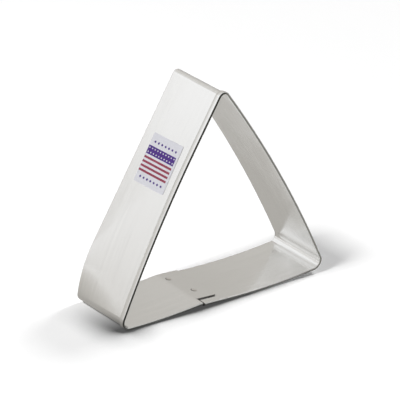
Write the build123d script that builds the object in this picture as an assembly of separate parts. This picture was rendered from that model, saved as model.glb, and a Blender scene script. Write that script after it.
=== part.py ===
from build123d import *
import os
from math import atan2, cos, radians, sin, tan

# Triangle cookie cutter, in millimetres. One tinplate strip is bent to a rounded triangle and
# closed on its base by a lap with two spot welds. A printed label is stuck on the left side.

# Tinplate strip
sheet = 0.35
strip_depth = 25.4  # front of the hem to the cutting edge
hem_width = 2.3  # front of the fold to the raw edge of the return
hem_gap = 0.3  # space inside the fold
hem_close = 0.05  # space left under the raw edge, where the return comes back to the web

# Middle line of the strip, seen from the hem side and measured from the sharp left corner
base_width = 100.0
right_corner_rise = 1.9
apex_run = 34.4
apex_height = 85.2
left_lean = 25.4  # degrees of the straight part of the left side from upright
right_bow = 2.5  # how far the right side stands out from its chord
base_left_bow = 0.75
left_corner_radius = 3.0
right_corner_radius = 2.8
apex_radius = 1.9

# Twist of the left side: it curves in to the left corner much earlier at the hem than at the cutting edge
front_straight = 22.9  # straight stretch below the sharp apex, at the hem
rear_straight = 69.5  # the same at the cutting edge

# Seam on the base: the left end of the strip laps inside the right end
seam_run = 37.4  # where the inner ply bends to lie flat on the outer one
seam_rise = 1.1
seam_fall = 2.7  # degrees the flat of the lap drops toward the right
seam_flat = 13.0  # straight stretch of the outer ply
seam_bend_radius = 10.0
lap_gap = 0.1
inner_tongue = 10.1  # inner ply past the bend
outer_tongue = 2.6  # outer ply past the bend
notch_depth = 3.6  # the tongues are cut back this far from the front, clear of the hem
butt_gap = 0.5  # between the two ends of the hem
butt_clear = 0.2  # flat left between the bend and the end of the hem

# Spot welds, placed along the flat of the lap from the bend
weld_diameter = 2.4
weld_dish = 0.1
front_weld_along = 4.9
front_weld_inset = 9.8  # from the front of the hem
rear_weld_along = 2.0
rear_weld_inset = 4.6  # from the cutting edge

# Label, placed down the left side from the sharp apex and across the strip toward the cutting edge
label_length = 18.5
label_width = 15.3
label_down = 33.3
label_across = 0.4
label_turn = 1.6  # degrees, lower end toward the hem
label_corner_radius = 0.5
label_thickness = 0.1
label_follow = 2.0  # how far it may leave the plane of the straight part as it follows the twist
adhesive_thickness = 0.04


def inward(direction):
    """Side of the middle line that faces into the triangle."""
    return Vector(-direction.Y, direction.X)


def bend(line, corner, radius):
    """Round one sharp corner of a line."""
    vertex = line.vertices().sort_by_distance(corner)[0]
    return line.fillet_2d(radius, [vertex])


# Sharp corners and the directions between them, drawn in XY with the hem toward +Z
left_corner = Vector(0, 0)
right_corner = Vector(base_width, right_corner_rise)
apex = Vector(apex_run, apex_height)
inner_bend = Vector(seam_run, seam_rise)
down_left = Vector(-sin(radians(left_lean)), -cos(radians(left_lean)))
along_lap = Vector(cos(radians(seam_fall)), -sin(radians(seam_fall)))

# Sides that are the same at the hem and at the cutting edge
right_side = SagittaArc(right_corner, apex, -right_bow)
base_left = SagittaArc(left_corner, inner_bend, -base_left_bow)

# The outer ply runs one lap step below the inner one, on both sides of the bend
lap_step = sheet + lap_gap
into_bend = base_left % 1
before, after = inward(into_bend), inward(along_lap)
outer_bend = inner_bend - (before + after) * (lap_step / (1 + before.dot(after)))
flat_end = outer_bend + along_lap * seam_flat
base_right = TangentArc(flat_end, right_corner, tangent=along_lap)

# The two ends of the hem meet butt to butt just past the bend
bend_angle = radians(into_bend.get_angle(along_lap))
butt = seam_bend_radius * tan(bend_angle / 2) + butt_clear + butt_gap / 2
hem_start = outer_bend + along_lap * (butt + butt_gap / 2)
hem_end = inner_bend + along_lap * (butt - butt_gap / 2)


def middle_line(straight):
    """Middle line of one long edge of the strip, from butt to butt round the triangle."""
    toe = apex + down_left * straight
    left_side = Line(apex, toe)
    left_toe = TangentArc(toe, left_corner, tangent=down_left)
    lead, tail = Line(hem_start, flat_end), Line(inner_bend, hem_end)
    sides = [lead, base_right, right_side, left_side, left_toe, base_left, tail]
    line = Wire([edge for side in sides for edge in side.edges()])
    line = bend(line, right_corner, right_corner_radius)
    line = bend(line, apex, apex_radius)
    line = bend(line, left_corner, left_corner_radius)
    return bend(line, inner_bend, seam_bend_radius)


front_line = middle_line(front_straight)
rear_line = middle_line(rear_straight)


def section_plane(start, direction):
    """Plane across the strip: X points out of the triangle, Y from the hem to the cutting edge."""
    return Plane(origin=start, x_dir=-inward(direction), z_dir=direction)


# Hem: the front of the web, a round fold to the outside, and a return that curves back to the web
front = -strip_depth / 2
return_edge = front + hem_width
web_inner = -sheet / 2
web_outer = sheet / 2
return_inner = web_outer + hem_gap
return_outer = return_inner + sheet
fold_middle = (web_inner + return_outer) / 2
fold = front + hem_gap / 2 + sheet
close_angle = 2 * atan2(hem_gap - hem_close, return_edge - fold)
raw_inner = Vector(web_outer + hem_close, return_edge)
raw_outer = raw_inner + Vector(cos(close_angle), sin(close_angle)) * sheet
hem_outline = [
    Line((web_inner, return_edge), (web_inner, fold)),
    ThreePointArc((web_inner, fold), (fold_middle, front), (return_outer, fold)),
    TangentArc((return_outer, fold), raw_outer, tangent=(0, 1)),
    Line(raw_outer, raw_inner),
    TangentArc((return_inner, fold), raw_inner, tangent=(0, 1)),
    ThreePointArc((return_inner, fold), (fold_middle, front + sheet), (web_outer, fold)),
    Polyline((web_outer, fold), (web_outer, return_edge), (web_inner, return_edge)),
]
hem_section = make_face([edge for side in hem_outline for edge in side.edges()])
hem = sweep(section_plane(hem_start, along_lap) * hem_section, path=front_line)

# Web: ruled from the back of the hem to the cutting edge, which gives the left side its twist
rear = strip_depth / 2


def shifted(edge, out):
    """Line or arc moved out of the triangle by a distance."""
    start, middle, end = [(edge @ t) - inward(edge % t) * out for t in (0, 0.5, 1)]
    if edge.geom_type == GeomType.LINE:
        return Line(start, end)
    return ThreePointArc(start, middle, end)


def ribbon(line, inside, outside):
    """Face along a middle line, between two distances out of the triangle."""
    inner = [shifted(edge, inside) for edge in line.edges()]
    outer = [shifted(edge, outside) for edge in line.edges()]
    first = Line(inner[0] @ 0, outer[0] @ 0)
    last = Line(outer[-1] @ 1, inner[-1] @ 1)
    border = [first, *outer, last, *reversed(inner)]
    return make_face(Wire([edge for side in border for edge in side.edges()]))


def layer(inside, outside):
    """Sheet between two distances from the middle of the web, twisted as the strip is."""
    front_face = Pos(0, 0, -return_edge) * ribbon(front_line, inside, outside)
    rear_face = Pos(0, 0, -rear) * ribbon(rear_line, inside, outside)
    return loft([front_face, rear_face], ruled=True)


web = layer(web_inner, web_outer)

# Tongues of the lap, behind the notches: the outer ply runs on to the left, the inner one to the right
notch = front + notch_depth
tongue_section = Pos(0, (notch + rear) / 2) * Rectangle(sheet, rear - notch)
tongue_start = outer_bend - into_bend * outer_tongue
tongue_end = inner_bend + along_lap * inner_tongue
outer_path = Wire(Polyline(tongue_start, outer_bend, hem_start).edges())
outer_path = bend(outer_path, outer_bend, seam_bend_radius - lap_step)
outer_ply = sweep(section_plane(tongue_start, into_bend) * tongue_section, path=outer_path)
inner_ply = sweep(section_plane(hem_end, along_lap) * tongue_section, path=Line(hem_end, tongue_end))

# Spot welds: each nugget fills a hole through both plies and is dished at both faces
lap_thickness = 2 * sheet + lap_gap
weld_radius = weld_diameter / 2
dish_radius = (weld_radius**2 + weld_dish**2) / (2 * weld_dish)


def weld_blank(along, across):
    """Cylinder through both plies, from the outer face to the inner one."""
    place = outer_bend + along_lap * along + inward(along_lap) * (lap_thickness / 2 - sheet / 2)
    plane = Plane(origin=place - Vector(0, 0, across), x_dir=along_lap, z_dir=inward(along_lap))
    return plane, plane * Cylinder(weld_radius, lap_thickness)


def dished(plane, blank):
    """Nugget with the shallow marks the electrodes leave on both faces."""
    reach = lap_thickness / 2 - weld_dish + dish_radius
    for side in (-reach, reach):
        blank -= plane * Pos(0, 0, side) * Sphere(dish_radius)
    return blank


front_plane, front_blank = weld_blank(front_weld_along, front + front_weld_inset)
rear_plane, rear_blank = weld_blank(rear_weld_along, rear - rear_weld_inset)
cutter_strip = web + hem + outer_ply + inner_ply - front_blank - rear_blank
spot_weld_front = dished(front_plane, front_blank)
spot_weld_rear = dished(rear_plane, rear_blank)

# Label on its adhesive: two films that lie on the outside of the left side and twist with it
outside = -inward(down_left)
label_place = apex + down_left * label_down - Vector(0, 0, label_across)
label_plane = Plane(origin=label_place, x_dir=down_left, z_dir=outside)
label_shape = Rot(0, 0, label_turn) * RectangleRounded(label_length, label_width, label_corner_radius)
label_block = label_plane * extrude(label_shape, label_follow, both=True)
adhesive_outer = web_outer + adhesive_thickness
label_adhesive = layer(web_outer, adhesive_outer) & label_block
label_face = layer(adhesive_outer, adhesive_outer + label_thickness) & label_block

# Stand the cutter on its base with the hem to the front and the origin under its middle
upright = Rot(90, 0, 0)
box = (upright * cutter_strip).bounding_box()
stand = Pos(-box.center().X, -box.center().Y, -box.min.Z) * upright

pieces = {
    "cutter_strip": cutter_strip,
    "spot_weld_front": spot_weld_front,
    "spot_weld_rear": spot_weld_rear,
    "label_adhesive": label_adhesive,
    "label_face": label_face,
}

os.makedirs("parts", exist_ok=True)
for node, piece in pieces.items():
    export_step(stand * piece, f"parts/{node}.step")
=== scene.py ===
from math import pi, radians

import bmesh
import bpy
from mathutils import Matrix, Vector


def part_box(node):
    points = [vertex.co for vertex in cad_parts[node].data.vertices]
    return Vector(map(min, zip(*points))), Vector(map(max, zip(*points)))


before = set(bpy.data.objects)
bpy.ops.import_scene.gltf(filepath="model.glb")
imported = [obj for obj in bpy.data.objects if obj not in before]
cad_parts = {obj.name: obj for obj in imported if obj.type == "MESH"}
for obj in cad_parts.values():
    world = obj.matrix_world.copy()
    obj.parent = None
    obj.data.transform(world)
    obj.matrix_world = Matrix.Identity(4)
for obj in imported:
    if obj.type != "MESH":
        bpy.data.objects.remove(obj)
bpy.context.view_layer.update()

# Tinplate strip: thin steel sheet with a bright coat of tin, slit to a strip and bent to the triangle.
# The rolls leave a faint grain along it and handling leaves soft smudges. The sheared edges are bare
# steel.
# Painted shade darkens the front of the fold of the hem, the notch slots and the gap at the ends of the
# hem.
strip_low, strip_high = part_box("cutter_strip")
sheared_width = 0.00012  # bare steel along the cutting edge
cut_reach = 0.00008  # painted shade on each side of the cut at the notches
fold_start, fold_end = 0.00016, 0.00034  # from the front of the hem, where the painted shade of the fold gives way to bright tin
notch_depth = 0.0036  # from the front of the hem
notch_left, notch_right = -0.0114, -0.0012
butt_left, butt_right = -0.01103, -0.0099  # the ends of the hem, with the gap between them
lap_height = 0.005  # the notches and the ends of the hem lie lower than this


def add_node(tree, kind, inputs=None, **settings):
    """Add a shader node, set its settings and fill or link its input sockets."""
    node = tree.nodes.new(kind)
    for name, value in settings.items():
        setattr(node, name, value)
    for socket, value in (inputs or {}).items():
        if isinstance(value, bpy.types.NodeSocket):
            tree.links.new(value, node.inputs[socket])
        else:
            node.inputs[socket].default_value = value
    return node


def math(tree, operation, *values):
    """Result of one math node."""
    node = add_node(tree, "ShaderNodeMath", dict(enumerate(values)), operation=operation)
    return node.outputs["Value"]


def remap(tree, value, from_low, from_high, to_low, to_high):
    """Value moved from one range to another and held inside it."""
    return add_node(tree, "ShaderNodeMapRange", {
        "Value": value, "From Min": from_low, "From Max": from_high,
        "To Min": to_low, "To Max": to_high}).outputs["Result"]


def within(tree, value, low, high):
    """One where a value lies between two others."""
    return math(tree, "COMPARE", value, (low + high) / 2, (high - low) / 2)


def blend(tree, factor, first, second):
    """Colour between two others."""
    mix = add_node(tree, "ShaderNodeMix", {"Factor": factor, 6: first, 7: second}, data_type="RGBA")
    return mix.outputs[2]


def new_material(name):
    """Material with an empty node tree, its output node and the place on the piece."""
    material = bpy.data.materials.new(name)
    material.use_nodes = True
    tree = material.node_tree
    tree.nodes.clear()
    output = add_node(tree, "ShaderNodeOutputMaterial")
    return material, tree, output, add_node(tree, "ShaderNodeTexCoord").outputs["Object"]


mottle = bpy.data.node_groups.new("mottle", "ShaderNodeTree")
mottle_takes = {"Place": "Vector", "Stretch": "Vector", "First": "Color", "Second": "Color"}
mottle_gives = {"Colour": "Color", "Mask": "Float"}
patch_low, patch_high = 0.33, 0.67  # of the noise, where one colour ends and the other begins
for name, kind in mottle_takes.items():
    mottle.interface.new_socket(name, in_out="INPUT", socket_type="NodeSocket" + kind)
for name, kind in mottle_gives.items():
    mottle.interface.new_socket(name, in_out="OUTPUT", socket_type="NodeSocket" + kind)
given = add_node(mottle, "NodeGroupInput").outputs
stretched = add_node(mottle, "ShaderNodeMapping", {
    "Vector": given["Place"], "Scale": given["Stretch"]})
noise = add_node(mottle, "ShaderNodeTexNoise", {
    "Vector": stretched.outputs["Vector"], "Scale": 1.0, "Detail": 3.0})
patches = remap(mottle, noise.outputs["Fac"], patch_low, patch_high, 0, 1)
add_node(mottle, "NodeGroupOutput", {
    "Colour": blend(mottle, patches, given["First"], given["Second"]), "Mask": patches})


def mottled(tree, place, stretch, first, second):
    """Colour that wanders between two others, and its mask. Stretch is in waves per metre."""
    node = add_node(tree, "ShaderNodeGroup", {
        "Place": place, "Stretch": stretch, "First": first, "Second": second}, node_tree=mottle)
    return node.outputs["Colour"], node.outputs["Mask"]


tinplate, tree, output, place = new_material("tinplate")
tin, smudge = mottled(tree, place, (55, 70, 55), (0.825, 0.825, 0.82, 1), (0.85, 0.85, 0.845, 1))
tin, grain = mottled(tree, place, (14, 1500, 14), tin, (0.865, 0.865, 0.86, 1))
steel, sway = mottled(tree, place, (28, 40, 28), (0.5, 0.49, 0.48, 1), (0.56, 0.55, 0.54, 1))
# Painted shade in the slot at the notches and in the gap between the ends of the hem
painted_gap_shade, _ = mottled(
    tree, place, (900, 900, 900), (0.085, 0.08, 0.075, 1), (0.12, 0.115, 0.11, 1))
# Painted shade: a darker tin along the front of the fold of the hem
fold_painted_shade, _ = mottled(
    tree, place, (200, 200, 200), (0.385, 0.385, 0.37, 1), (0.415, 0.415, 0.4, 1))
along, depth, height = add_node(tree, "ShaderNodeSeparateXYZ", {"Vector": place}).outputs
cutting_edge = remap(
    tree, depth, strip_high.y - sheared_width, strip_high.y - sheared_width / 2, 0, 1)
fold = remap(tree, depth, strip_low.y + fold_start, strip_low.y + fold_end, 1, 0)
notch = strip_low.y + notch_depth
notch_ends = within(tree, depth, notch - cut_reach, notch + cut_reach)
notch_ends = math(tree, "MULTIPLY", notch_ends, within(tree, along, notch_left, notch_right))
butt_ends = math(tree, "LESS_THAN", depth, notch)
butt_ends = math(tree, "MULTIPLY", butt_ends, within(tree, along, butt_left, butt_right))
# Where the painted shade of the slot and the gap lies
painted_gap_mask = math(tree, "MAXIMUM", notch_ends, butt_ends)
painted_gap_mask = math(tree, "MULTIPLY", painted_gap_mask, math(tree, "LESS_THAN", height, lap_height))
surface = blend(tree, cutting_edge, blend(tree, fold, tin, fold_painted_shade), steel)
surface = blend(tree, painted_gap_mask, surface, painted_gap_shade)
grain_dull = remap(tree, grain, 0, 1, 0.12, 0.17)
smudge_dull = remap(tree, smudge, 0, 1, 0, 0.04)
edge_dull = remap(tree, cutting_edge, 0, 1, 0, 0.2)
dull = math(tree, "ADD", math(tree, "ADD", grain_dull, smudge_dull), edge_dull)
waviness = add_node(tree, "ShaderNodeBump", {"Strength": 0.2, "Distance": 0.0004, "Height": sway})
scratches = add_node(tree, "ShaderNodeBump", {
    "Strength": 0.04, "Distance": 0.0001, "Height": grain, "Normal": waviness.outputs["Normal"]})
metal = add_node(tree, "ShaderNodeBsdfPrincipled", {
    "Base Color": surface, "Roughness": dull, "Metallic": 1.0,
    "Normal": scratches.outputs["Normal"]})
tree.links.new(metal.outputs["BSDF"], output.inputs["Surface"])
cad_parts["cutter_strip"].material_slots[0].material = tinplate

# Spot welds: two round plugs of fused steel through both plies of the lap. The copper electrodes press
# a shallow dish in each face. The heat turns the metal browner. A dark crescent of painted shade at the
# left of each weld stands for the shade in its dish.
weld_names = ("spot_weld_front", "spot_weld_rear")
unshaded_shift = Vector((0.00035, 0, 0))  # from the middle of a weld to the middle of its part without painted shade
crescent_start, crescent_end = 0.00115, 0.00135  # from the middle of the part without painted shade
weld_grain = (2600, 2600, 2600)
weld_metal, tree, output, place = new_material("weld_metal")
brown, pits = mottled(tree, place, weld_grain, (0.68, 0.66, 0.635, 1), (0.78, 0.77, 0.75, 1))
# Painted shade: the dark colour of the crescent at the left of each weld
painted_crescent_shade, _ = mottled(tree, place, weld_grain, (0.05, 0.048, 0.045, 1), (0.07, 0.067, 0.063, 1))
from_unshaded = []
for name in weld_names:
    low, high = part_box(name)
    reach = add_node(tree, "ShaderNodeVectorMath", {
        0: place, 1: (low + high) / 2 + unshaded_shift}, operation="DISTANCE")
    from_unshaded.append(reach.outputs["Value"])
painted_crescent = remap(tree, math(tree, "MINIMUM", *from_unshaded), crescent_start, crescent_end, 0, 1)
bump = add_node(tree, "ShaderNodeBump", {"Strength": 0.04, "Distance": 0.0001, "Height": pits})
metal = add_node(tree, "ShaderNodeBsdfPrincipled", {
    "Base Color": blend(tree, painted_crescent, brown, painted_crescent_shade),
    "Roughness": remap(tree, pits, 0, 1, 0.1, 0.16),
    "Metallic": 1.0, "Normal": bump.outputs["Normal"]})
tree.links.new(metal.outputs["BSDF"], output.inputs["Surface"])
for name in weld_names:
    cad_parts[name].material_slots[0].material = weld_metal

# Adhesive: a thin coat of pale gum on the back of the label, pressed on to the tin. It is seen only as
# a fine line round the edge of the label.
adhesive, tree, output, place = new_material("label_adhesive")
gum, cloud = mottled(tree, place, (900, 900, 900), (0.62, 0.6, 0.53, 1), (0.7, 0.68, 0.61, 1))
coat = add_node(tree, "ShaderNodeBsdfPrincipled", {
    "Base Color": gum, "Roughness": remap(tree, cloud, 0, 1, 0.3, 0.45)})
tree.links.new(coat.outputs["BSDF"], output.inputs["Surface"])
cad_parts["label_adhesive"].material_slots[0].material = adhesive

# Label: coated paper, pale lavender grey, stuck on the left side. A plain printed panel of red stripes
# under a dotted purple band fills its middle, with a row of small purple diamonds above and below.
lean = radians(25.4)  # of the left side from upright
turn = radians(1.6)  # of the label on that side
label_low, label_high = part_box("label_face")
label_middle = (label_low + label_high) / 2
label_turn = Matrix.Rotation(lean + pi / 2, 3, "Y") @ Matrix.Rotation(pi, 3, "X")
label_turn = (label_turn @ Matrix.Rotation(turn, 3, "Z")).to_euler()
panel_left, panel_right = -0.0075, 0.0067
panel_top, band_low, panel_low = -0.00456, -0.00136, 0.00512
stripe_count = 8  # bare and red ones in turn
stripe = (panel_low - band_low) / stripe_count
dot_pitch, dot_row, dot_radius = 0.00142, 0.0016, 0.00026
diamond_pitch, diamond_size = 0.0018, 0.00055
diamonds_left, diamonds_right = -0.0063, 0.0063
rows_middle, rows_reach = 0.00028, 0.0066  # the two rows of diamonds lie this far above and below
paper_grain, ink_grain = (2200, 2200, 2200), (1500, 1500, 1500)
paper, tree, output, place = new_material("label_paper")
stock, fibre = mottled(tree, place, paper_grain, (0.49, 0.49, 0.525, 1), (0.55, 0.55, 0.585, 1))
purple, _ = mottled(tree, place, ink_grain, (0.052, 0.02, 0.15, 1), (0.066, 0.032, 0.18, 1))
red, _ = mottled(tree, place, ink_grain, (0.2, 0.036, 0.062, 1), (0.24, 0.052, 0.08, 1))
on_label = add_node(tree, "ShaderNodeMapping", {
    "Vector": place, "Location": label_middle, "Rotation": label_turn}, vector_type="TEXTURE")
on_label = on_label.outputs["Vector"]
down, across, _ = add_node(tree, "ShaderNodeSeparateXYZ", {"Vector": on_label}).outputs


def from_middle(tree, value, start, pitch):
    """Distance from the middle of the nearest of a row of steps that begin at a place."""
    step = math(tree, "FRACT", math(tree, "DIVIDE", math(tree, "SUBTRACT", value, start), pitch))
    return math(tree, "MULTIPLY", math(tree, "ABSOLUTE", math(tree, "SUBTRACT", step, 0.5)), pitch)


panel = within(tree, across, panel_left, panel_right)
from_red = from_middle(tree, down, band_low + stripe / 2, 2 * stripe)
red_rows = math(tree, "LESS_THAN", from_red, stripe / 2)
red_rows = math(tree, "MULTIPLY", red_rows, within(tree, down, band_low, panel_low))
printed = blend(tree, math(tree, "MULTIPLY", panel, red_rows), stock, red)
dot_across = from_middle(tree, across, panel_left, dot_pitch)
dot_down = from_middle(tree, down, panel_top, dot_row)
dot = math(tree, "ADD", math(tree, "POWER", dot_across, 2.0), math(tree, "POWER", dot_down, 2.0))
band = math(tree, "MULTIPLY", panel, within(tree, down, panel_top, band_low))
band = math(tree, "MULTIPLY", band, math(tree, "GREATER_THAN", dot, dot_radius**2))
printed = blend(tree, band, printed, purple)
row = math(tree, "ABSOLUTE", math(tree, "SUBTRACT", down, rows_middle))
row = math(tree, "ABSOLUTE", math(tree, "SUBTRACT", row, rows_reach))
diamond = math(tree, "ADD", row, from_middle(tree, across, diamonds_left, diamond_pitch))
diamonds = math(tree, "LESS_THAN", diamond, diamond_size)
diamonds = math(tree, "MULTIPLY", diamonds, within(tree, across, diamonds_left, diamonds_right))
printed = blend(tree, diamonds, printed, purple)
bump = add_node(tree, "ShaderNodeBump", {"Strength": 0.1, "Distance": 0.00005, "Height": fibre})
sheet = add_node(tree, "ShaderNodeBsdfPrincipled", {
    "Base Color": printed, "Roughness": remap(tree, fibre, 0, 1, 0.4, 0.5),
    "Specular IOR Level": 0.25, "Normal": bump.outputs["Normal"]})
tree.links.new(sheet.outputs["BSDF"], output.inputs["Surface"])
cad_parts["label_face"].material_slots[0].material = paper

# Floor: a plain white table that takes the cutter's soft shadow from the lamps. A painted shadow in its
# colour close to the cutter is deepest at its front left. It fades to the right, where the base stands
# off the floor, and to the rear.
shade_reach = 0.016  # how near to the cutter the shade begins
shade_right = (0.012, 0.032)  # where it fades on the way to the right
shade_rear = (-0.01, 0.014)  # where it fades on the way to the rear
shade_full, shade_none = 0.7, 1.0  # share of open sky
floor_glow = 0.07  # lifts the white that is seen
floor_mesh = bpy.data.meshes.new("floor")
shape = bmesh.new()
bmesh.ops.create_grid(shape, x_segments=1, y_segments=1, size=3.0)
shape.to_mesh(floor_mesh)
shape.free()
floor = bpy.data.objects.new("floor", floor_mesh)
bpy.context.collection.objects.link(floor)


def seen(tree):
    """One for rays that show the background: the camera's, and those the object mirrors or passes."""
    path = add_node(tree, "ShaderNodeLightPath").outputs
    mirrored = math(tree, "MAXIMUM", path["Is Glossy Ray"], path["Is Transmission Ray"])
    return math(tree, "MAXIMUM", path["Is Camera Ray"], mirrored)


table, tree, output, place = new_material("white_table")
# Painted shadow: the floor's colour darkens near the cutter, by its share of open sky and its place
sky_share = add_node(tree, "ShaderNodeAmbientOcclusion", {"Distance": shade_reach}, samples=16)
along, depth, _ = add_node(tree, "ShaderNodeSeparateXYZ", {"Vector": place}).outputs
to_right = remap(tree, along, *shade_right, 1, 0)
to_rear = remap(tree, depth, *shade_rear, 1, 0)
shade = remap(tree, sky_share.outputs["AO"], shade_full, shade_none, 1, 0)
shade = math(tree, "MULTIPLY", math(tree, "MULTIPLY", to_right, to_rear), shade)
floor_painted_shade = blend(tree, shade, (0.95, 0.95, 0.95, 1), (0.03, 0.03, 0.03, 1))
white = add_node(tree, "ShaderNodeBsdfPrincipled", {
    "Base Color": floor_painted_shade, "Roughness": 1.0, "Specular IOR Level": 0.0,
    "Emission Color": (1, 1, 1, 1), "Emission Strength": remap(tree, seen(tree), 0, 1, 0, floor_glow)})
tree.links.new(white.outputs["BSDF"], output.inputs["Surface"])
floor_mesh.materials.append(table)

# Room: even white light from all round. It is plain white where the camera sees it or the metal mirrors
# it, and a low fill for all else.
room_fill = 0.15
room = bpy.data.worlds.new("room")
bpy.context.scene.world = room
room.use_nodes = True
tree = room.node_tree
tree.nodes.clear()
sky = add_node(tree, "ShaderNodeBackground", {
    "Color": (1, 1, 1, 1), "Strength": remap(tree, seen(tree), 0, 1, room_fill, 1)})
add_node(tree, "ShaderNodeOutputWorld", {"Surface": sky.outputs["Background"]})

# Lamps: a soft box high on each side, so that the shadow lies to the left and right of the cutter.
# The metal mirrors the cards below and not these boxes.
lamp_aim = Vector((0, 0, 0.04))  # the middle of the cutter


def soft_box(name, place, size, watts):
    """Square lamp turned to the middle of the cutter, seen only by the light it gives."""
    lamp = bpy.data.lights.new(name, "AREA")
    lamp.shape = "SQUARE"
    lamp.size = size
    lamp.energy = watts
    holder = bpy.data.objects.new(name, lamp)
    holder.location = place
    holder.rotation_euler = (lamp_aim - Vector(place)).to_track_quat("-Z", "Y").to_euler()
    holder.visible_camera = False
    holder.visible_glossy = False
    bpy.context.collection.objects.link(holder)


soft_box("left_box", place=(-1.405, -0.05, 1.414), size=0.25, watts=33.5)
soft_box("right_box", place=(1.2, 0.15, 1.55), size=0.35, watts=14.5)

# Cards: boards set round the cutter for its bright metal to mirror. White and grey ones stand behind it
# and lie on the floor, and narrow darker ones close in front of the rim draw the line of the fold.
cream_level, white_level = 0.55, 1.0  # dimmer cards are cream, brighter ones white
cream, pure_white = (1, 0.965, 0.905, 1), (1, 1, 1, 1)
card_paint, tree, output, _ = new_material("card_paint")
glow = add_node(tree, "ShaderNodeAttribute", attribute_name="glow").outputs["Fac"]
tone = blend(tree, remap(tree, glow, cream_level, white_level, 0, 1), cream, pure_white)
paint = add_node(tree, "ShaderNodeEmission", {"Color": tone, "Strength": glow})
tree.links.new(paint.outputs["Emission"], output.inputs["Surface"])


def card(name, rows):
    """Card through rows of two corners, each with its own brightness, seen only in the metal."""
    mesh = bpy.data.meshes.new(name)
    shape = bmesh.new()
    brightness = shape.verts.layers.float.new("glow")
    last = []
    for row in rows:
        pair = []
        for corner, level in row:
            vert = shape.verts.new(corner)
            vert[brightness] = level
            pair.append(vert)
        if last:
            shape.faces.new((last[0], last[1], pair[1], pair[0]))
        last = pair
    shape.to_mesh(mesh)
    shape.free()
    mesh.materials.append(card_paint)
    sheet = bpy.data.objects.new(name, mesh)
    sheet.visible_camera = False
    sheet.visible_diffuse = False
    sheet.visible_shadow = False
    bpy.context.collection.objects.link(sheet)


def standing(left, right, levels):
    """Rows of an upright card over two points of the floor, from heights and brightnesses."""
    return [(((*left, height), level), ((*right, height), level)) for height, level in levels]


def lying(start, direction, width, levels):
    """Rows of a card that lies on the floor, from distances along a direction and brightnesses."""
    direction = Vector(direction).normalized()
    aside = Vector((-direction.y, direction.x, 0)) * width / 2
    rows = []
    for distance, level in levels:
        middle = Vector(start) + direction * distance
        rows.append(((middle + aside, level), (middle - aside, level)))
    return rows


# For the left side, the return of its hem and its toe
card("white_card", standing((-0.3584, 0.0397), (-0.2272, 0.196), [
    (0, 0.73), (0.02, 0.83), (0.064, 0.9), (0.15, 0.97), (0.17, 1.02), (0.25, 1.02)]))
card("corner_card", standing((-0.2272, 0.196), (-0.1912, 0.2389), [
    (0, 0.82), (0.1, 0.82), (0.14, 1.05), (0.25, 1.05)]))
card("edge_card", [
    (((-0.118, 0.06, 0), 0.66), ((-0.074, 0.06, 0), 0.55)),
    (((-0.118, 0.07, 0.03), 0.65), ((-0.078, 0.07, 0.03), 0.6)),
    (((-0.13, 0.09, 0.044), 0.68), ((-0.084, 0.09, 0.044), 0.62)),
    (((-0.122, 0.09, 0.054), 0.73), ((-0.08, 0.09, 0.054), 0.64)),
    (((-0.109, 0.09, 0.079), 0.8), ((-0.062, 0.09, 0.079), 0.7)),
    (((-0.1, 0.09, 0.1), 0.9), ((-0.055, 0.09, 0.1), 0.75)),
    (((-0.09, 0.09, 0.125), 0.94), ((-0.045, 0.09, 0.125), 0.8))])
card("toe_card", lying((-0.05, 0.002, 0.0006), (-0.86, 0.51, 0), 0.08, [
    (-0.008, 0.2), (0, 0.41), (0.025, 0.55), (0.09, 0.68), (0.185, 0.74)]))

# For the right side, its corner and the ridge at the top
low_grey, ridge_grey = 0.475, 0.72
card("low_card", [
    (((0.0355, 0.0132, 0.0005), low_grey), ((0.066, 0.0132, 0.0005), low_grey)),
    (((0.0135, 0.074, 0.0005), low_grey), ((0.044, 0.084, 0.0005), low_grey))])
card("lap_card", lying((0.031, 0.026, 0.0004), (-1, 0, 0), 0.028, [
    (-0.004, 1.0), (0, 0.97), (0.007, 0.72), (0.02, 0.56)]))
card("ridge_card", standing((0.09, 0.15), (-0.13, 0.15), [(0.222, ridge_grey), (0.28, ridge_grey)]))

# For the base, a tall wall at the back with a brighter left half in its upper part
card("far_card", standing((0.61, 0.35), (-0.33, 0.674), [
    (0, 0.15), (0.12, 0.2), (0.2, 0.53), (0.42, 0.63), (0.58, 0.7)]))
wall_low, wall_high = 0.56, 1.2
wall = [
    (0.61, 0.345, 0.45), (0.085, 0.526, 0.5), (0.065, 0.533, 0.67),
    (0.01, 0.552, 1.0), (-0.33, 0.669, 1.0)]
card("high_card", [
    (((x, y, wall_low), level), ((x, y, wall_high), level)) for x, y, level in wall])

# For the fold of the hem, strips along the left rim, the right rim and the floor
dark, grey = 0.1, 0.5
left_rim = [(-0.0495, 0), (-0.0445, 0.02), (-0.0383, 0.034), (-0.0132, 0.09)]
left_half, left_rear, left_front = 0.004, -0.0123, -0.0145
card("left_screen", [
    (((x - left_half, left_rear, z), dark), ((x + left_half, left_front, z), dark))
    for x, z in left_rim])
right_rim = [(0.0525, 0), (0.0505, 0.003), (0.0358, 0.025), (0.003, 0.0667), (-0.02, 0.092)]
right_in, right_out, right_front = 0.009, 0.005, -0.0146
card("right_screen", [
    (((x - right_in, right_front, z), grey), ((x + right_out, right_front, z), grey))
    for x, z in right_rim])
card("low_screen", standing((-0.06, -0.0142), (0.06, -0.0142), [(0, dark), (0.002, dark)]))

# Camera: a long lens that looks from the left and above, as in the photograph. It is rolled a little
# about its own axis, as it was there.
lens = bpy.data.cameras.new("camera")
lens.sensor_width = 36
lens.lens = 183.75
camera = bpy.data.objects.new("camera", lens)
camera.location = (-0.47879, -0.477, 0.34312)
camera.rotation_euler = (radians(65.316), radians(-6.95), radians(-41.496))
bpy.context.collection.objects.link(camera)
bpy.context.scene.camera = camera
bpy.context.scene.view_settings.view_transform = "Standard"
